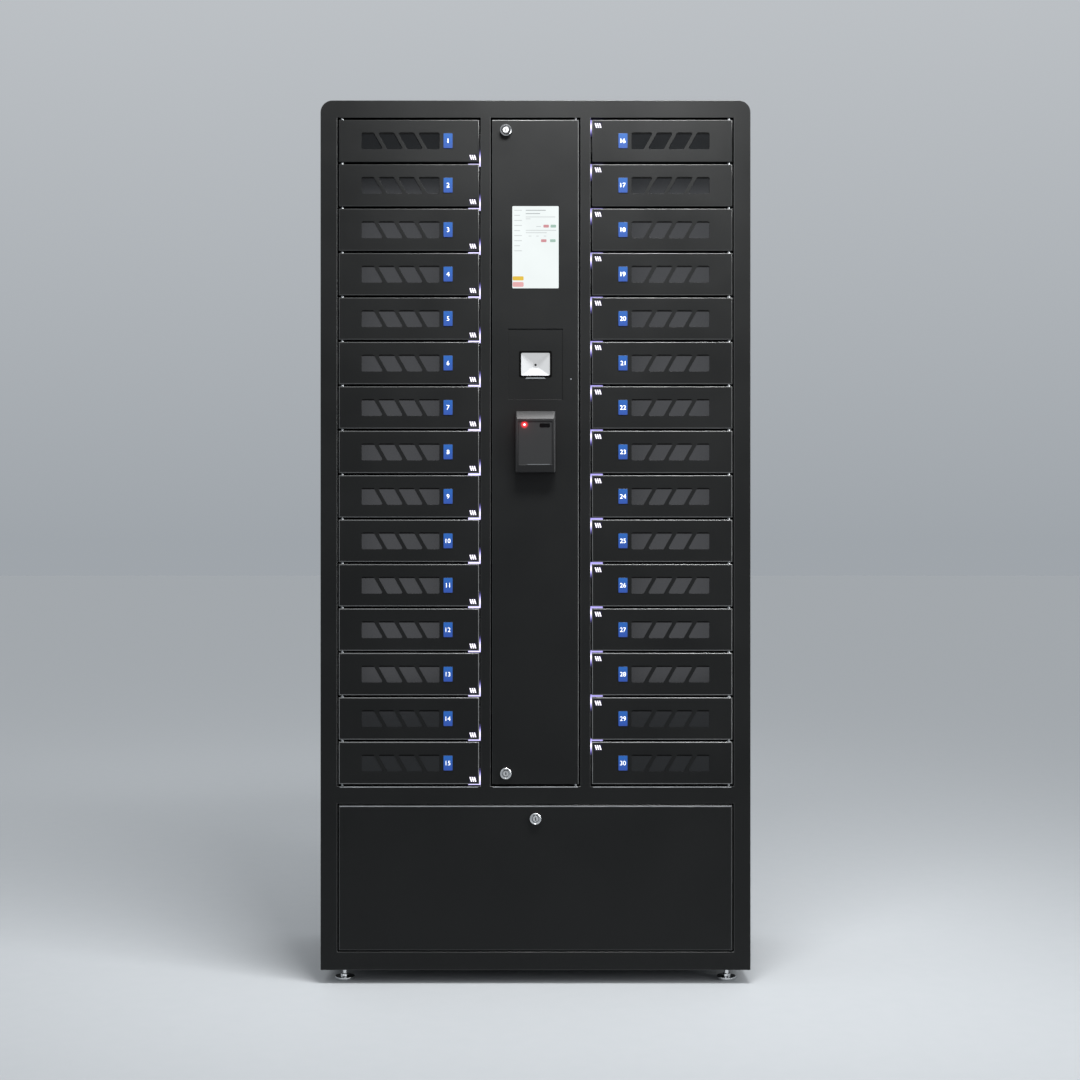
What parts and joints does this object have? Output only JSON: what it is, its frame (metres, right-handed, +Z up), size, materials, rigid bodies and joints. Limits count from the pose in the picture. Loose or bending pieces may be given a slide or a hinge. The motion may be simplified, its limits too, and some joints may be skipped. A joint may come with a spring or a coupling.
{
  "type": "tablet locker",
  "caption": "Floor-standing black steel locker that stores and charges tablets behind small numbered doors, with a touch display, code scanner and card reader on its centre door.",
  "frame": {"origin": "on the floor under the middle of the bounding box, which runs from the card reader's face to the cable gland's tip", "axes": "+Z up, +X to the right seen from the front, +Y from the front to the back, so the doors face -Y"},
  "size_m": [0.9, 0.488, 1.85],
  "materials": {
    "black_powder_coat": "satin black fine-texture powder coat",
    "inner_powder_coat": "matt black powder coat inside",
    "black_plastic": "black moulded plastic",
    "zinc_steel": "bright zinc-plated steel",
    "lit_lens": "clear light guide, lit cool white",
    "touch_glass": "glossy touch glass over a lit white panel",
    "white_plastic": "white moulded reflector",
    "reader_plastic": "dark grey satin moulded plastic",
    "red_lens": "red indicator lens, lit",
    "lock_chrome": "bright nickel-chrome plated zinc",
    "door_leaf": "satin black powder coat, smoked vent pane and blue number plate"
  },
  "bodies": {
    "cabinet": {"outer_wrap": "black_powder_coat", "front_frame": "black_powder_coat", "back_panel": "black_powder_coat", "base_panel": "black_powder_coat", "deck_panel": "inner_powder_coat", "inner_walls": "inner_powder_coat", "shelves": "inner_powder_coat", "charging_sockets": "black_plastic", "hinge_rods": "zinc_steel", "door_locks": "black_plastic", "led_light_guides": "lit_lens", "cable_gland": "black_plastic", "power_supplies": "black_plastic", "controller_unit": "black_plastic"},
    "centre_leaf": {"centre_door": "black_powder_coat", "display_panel": "touch_glass", "scanner_plate": "black_powder_coat", "scanner_reflector": "white_plastic", "card_reader": "reader_plastic", "card_reader_led": "red_lens", "centre_lock_barrels": "lock_chrome"},
    "flap_leaf": {"service_flap": "black_powder_coat", "flap_lock_barrel": "lock_chrome"},
    "upper_plug": {"upper_lock_plug": "lock_chrome"},
    "lower_plug": {"lower_lock_plug": "lock_chrome"},
    "flap_plug": {"flap_lock_plug": "lock_chrome"},
    "door_01_body": {"door_01": "door_leaf"},
    "door_02_body": {"door_02": "door_leaf"},
    "door_03_body": {"door_03": "door_leaf"},
    "door_04_body": {"door_04": "door_leaf"},
    "door_05_body": {"door_05": "door_leaf"},
    "door_06_body": {"door_06": "door_leaf"},
    "door_07_body": {"door_07": "door_leaf"},
    "door_08_body": {"door_08": "door_leaf"},
    "door_09_body": {"door_09": "door_leaf"},
    "door_10_body": {"door_10": "door_leaf"},
    "door_11_body": {"door_11": "door_leaf"},
    "door_12_body": {"door_12": "door_leaf"},
    "door_13_body": {"door_13": "door_leaf"},
    "door_14_body": {"door_14": "door_leaf"},
    "door_15_body": {"door_15": "door_leaf"},
    "door_16_body": {"door_16": "door_leaf"},
    "door_17_body": {"door_17": "door_leaf"},
    "door_18_body": {"door_18": "door_leaf"},
    "door_19_body": {"door_19": "door_leaf"},
    "door_20_body": {"door_20": "door_leaf"},
    "door_21_body": {"door_21": "door_leaf"},
    "door_22_body": {"door_22": "door_leaf"},
    "door_23_body": {"door_23": "door_leaf"},
    "door_24_body": {"door_24": "door_leaf"},
    "door_25_body": {"door_25": "door_leaf"},
    "door_26_body": {"door_26": "door_leaf"},
    "door_27_body": {"door_27": "door_leaf"},
    "door_28_body": {"door_28": "door_leaf"},
    "door_29_body": {"door_29": "door_leaf"},
    "door_30_body": {"door_30": "door_leaf"},
    "foot_front_left_body": {"foot_front_left": "zinc_steel"},
    "foot_front_right_body": {"foot_front_right": "zinc_steel"},
    "foot_rear_left_body": {"foot_rear_left": "zinc_steel"},
    "foot_rear_right_body": {"foot_rear_right": "zinc_steel"}
  },
  "joints": [
    {"name": "centre_door_hinge", "type": "hinge", "parent": "cabinet", "child": "centre_leaf", "pos_m": [0.084, -0.214, 1.11425], "axis": [0, 0, 1], "range_deg": [0, 100]},
    {"name": "service_flap_hinge", "type": "hinge", "parent": "cabinet", "child": "flap_leaf", "pos_m": [0, -0.214, 0.078], "axis": [1, 0, 0], "range_deg": [0, 90]},
    {"name": "upper_lock_turn", "type": "hinge", "parent": "centre_leaf", "child": "upper_plug", "pos_m": [-0.062, -0.22, 1.7865], "axis": [0, 1, 0], "range_deg": [0, 90]},
    {"name": "lower_lock_turn", "type": "hinge", "parent": "centre_leaf", "child": "lower_plug", "pos_m": [-0.062, -0.22, 0.442], "axis": [0, -1, 0], "range_deg": [0, 90]},
    {"name": "flap_lock_turn", "type": "hinge", "parent": "flap_leaf", "child": "flap_plug", "pos_m": [0, -0.22, 0.3475], "axis": [0, 1, 0], "range_deg": [0, 90]},
    {"name": "foot_front_left_turn", "type": "hinge", "parent": "cabinet", "child": "foot_front_left_body", "pos_m": [-0.404, -0.174, 0], "axis": [0, 0, 1], "continuous": true},
    {"name": "foot_front_right_turn", "type": "hinge", "parent": "cabinet", "child": "foot_front_right_body", "pos_m": [0.404, -0.174, 0], "axis": [0, 0, 1], "continuous": true},
    {"name": "foot_rear_left_turn", "type": "hinge", "parent": "cabinet", "child": "foot_rear_left_body", "pos_m": [-0.404, 0.184, 0], "axis": [0, 0, 1], "continuous": true},
    {"name": "foot_rear_right_turn", "type": "hinge", "parent": "cabinet", "child": "foot_rear_right_body", "pos_m": [0.404, 0.184, 0], "axis": [0, 0, 1], "continuous": true},
    {"name": "door_01_hinge", "type": "hinge", "parent": "cabinet", "child": "door_01_body", "pos_m": [-0.405, -0.214, 1.76525], "axis": [0, 0, -1], "range_deg": [0, 110]},
    {"name": "door_02_hinge", "type": "hinge", "parent": "cabinet", "child": "door_02_body", "pos_m": [-0.405, -0.214, 1.67225], "axis": [0, 0, -1], "range_deg": [0, 110]},
    {"name": "door_03_hinge", "type": "hinge", "parent": "cabinet", "child": "door_03_body", "pos_m": [-0.405, -0.214, 1.57925], "axis": [0, 0, -1], "range_deg": [0, 110]},
    {"name": "door_04_hinge", "type": "hinge", "parent": "cabinet", "child": "door_04_body", "pos_m": [-0.405, -0.214, 1.48625], "axis": [0, 0, -1], "range_deg": [0, 110]},
    {"name": "door_05_hinge", "type": "hinge", "parent": "cabinet", "child": "door_05_body", "pos_m": [-0.405, -0.214, 1.39325], "axis": [0, 0, -1], "range_deg": [0, 110]},
    {"name": "door_06_hinge", "type": "hinge", "parent": "cabinet", "child": "door_06_body", "pos_m": [-0.405, -0.214, 1.30025], "axis": [0, 0, -1], "range_deg": [0, 110]},
    {"name": "door_07_hinge", "type": "hinge", "parent": "cabinet", "child": "door_07_body", "pos_m": [-0.405, -0.214, 1.20725], "axis": [0, 0, -1], "range_deg": [0, 110]},
    {"name": "door_08_hinge", "type": "hinge", "parent": "cabinet", "child": "door_08_body", "pos_m": [-0.405, -0.214, 1.11425], "axis": [0, 0, -1], "range_deg": [0, 110]},
    {"name": "door_09_hinge", "type": "hinge", "parent": "cabinet", "child": "door_09_body", "pos_m": [-0.405, -0.214, 1.02125], "axis": [0, 0, -1], "range_deg": [0, 110]},
    {"name": "door_10_hinge", "type": "hinge", "parent": "cabinet", "child": "door_10_body", "pos_m": [-0.405, -0.214, 0.92825], "axis": [0, 0, -1], "range_deg": [0, 110]},
    {"name": "door_11_hinge", "type": "hinge", "parent": "cabinet", "child": "door_11_body", "pos_m": [-0.405, -0.214, 0.83525], "axis": [0, 0, -1], "range_deg": [0, 110]},
    {"name": "door_12_hinge", "type": "hinge", "parent": "cabinet", "child": "door_12_body", "pos_m": [-0.405, -0.214, 0.74225], "axis": [0, 0, -1], "range_deg": [0, 110]},
    {"name": "door_13_hinge", "type": "hinge", "parent": "cabinet", "child": "door_13_body", "pos_m": [-0.405, -0.214, 0.64925], "axis": [0, 0, -1], "range_deg": [0, 110]},
    {"name": "door_14_hinge", "type": "hinge", "parent": "cabinet", "child": "door_14_body", "pos_m": [-0.405, -0.214, 0.55625], "axis": [0, 0, -1], "range_deg": [0, 110]},
    {"name": "door_15_hinge", "type": "hinge", "parent": "cabinet", "child": "door_15_body", "pos_m": [-0.405, -0.214, 0.46325], "axis": [0, 0, -1], "range_deg": [0, 110]},
    {"name": "door_16_hinge", "type": "hinge", "parent": "cabinet", "child": "door_16_body", "pos_m": [0.405, -0.214, 1.76525], "axis": [0, 0, 1], "range_deg": [0, 110]},
    {"name": "door_17_hinge", "type": "hinge", "parent": "cabinet", "child": "door_17_body", "pos_m": [0.405, -0.214, 1.67225], "axis": [0, 0, 1], "range_deg": [0, 110]},
    {"name": "door_18_hinge", "type": "hinge", "parent": "cabinet", "child": "door_18_body", "pos_m": [0.405, -0.214, 1.57925], "axis": [0, 0, 1], "range_deg": [0, 110]},
    {"name": "door_19_hinge", "type": "hinge", "parent": "cabinet", "child": "door_19_body", "pos_m": [0.405, -0.214, 1.48625], "axis": [0, 0, 1], "range_deg": [0, 110]},
    {"name": "door_20_hinge", "type": "hinge", "parent": "cabinet", "child": "door_20_body", "pos_m": [0.405, -0.214, 1.39325], "axis": [0, 0, 1], "range_deg": [0, 110]},
    {"name": "door_21_hinge", "type": "hinge", "parent": "cabinet", "child": "door_21_body", "pos_m": [0.405, -0.214, 1.30025], "axis": [0, 0, 1], "range_deg": [0, 110]},
    {"name": "door_22_hinge", "type": "hinge", "parent": "cabinet", "child": "door_22_body", "pos_m": [0.405, -0.214, 1.20725], "axis": [0, 0, 1], "range_deg": [0, 110]},
    {"name": "door_23_hinge", "type": "hinge", "parent": "cabinet", "child": "door_23_body", "pos_m": [0.405, -0.214, 1.11425], "axis": [0, 0, 1], "range_deg": [0, 110]},
    {"name": "door_24_hinge", "type": "hinge", "parent": "cabinet", "child": "door_24_body", "pos_m": [0.405, -0.214, 1.02125], "axis": [0, 0, 1], "range_deg": [0, 110]},
    {"name": "door_25_hinge", "type": "hinge", "parent": "cabinet", "child": "door_25_body", "pos_m": [0.405, -0.214, 0.92825], "axis": [0, 0, 1], "range_deg": [0, 110]},
    {"name": "door_26_hinge", "type": "hinge", "parent": "cabinet", "child": "door_26_body", "pos_m": [0.405, -0.214, 0.83525], "axis": [0, 0, 1], "range_deg": [0, 110]},
    {"name": "door_27_hinge", "type": "hinge", "parent": "cabinet", "child": "door_27_body", "pos_m": [0.405, -0.214, 0.74225], "axis": [0, 0, 1], "range_deg": [0, 110]},
    {"name": "door_28_hinge", "type": "hinge", "parent": "cabinet", "child": "door_28_body", "pos_m": [0.405, -0.214, 0.64925], "axis": [0, 0, 1], "range_deg": [0, 110]},
    {"name": "door_29_hinge", "type": "hinge", "parent": "cabinet", "child": "door_29_body", "pos_m": [0.405, -0.214, 0.55625], "axis": [0, 0, 1], "range_deg": [0, 110]},
    {"name": "door_30_hinge", "type": "hinge", "parent": "cabinet", "child": "door_30_body", "pos_m": [0.405, -0.214, 0.46325], "axis": [0, 0, 1], "range_deg": [0, 110]}
  ]
}
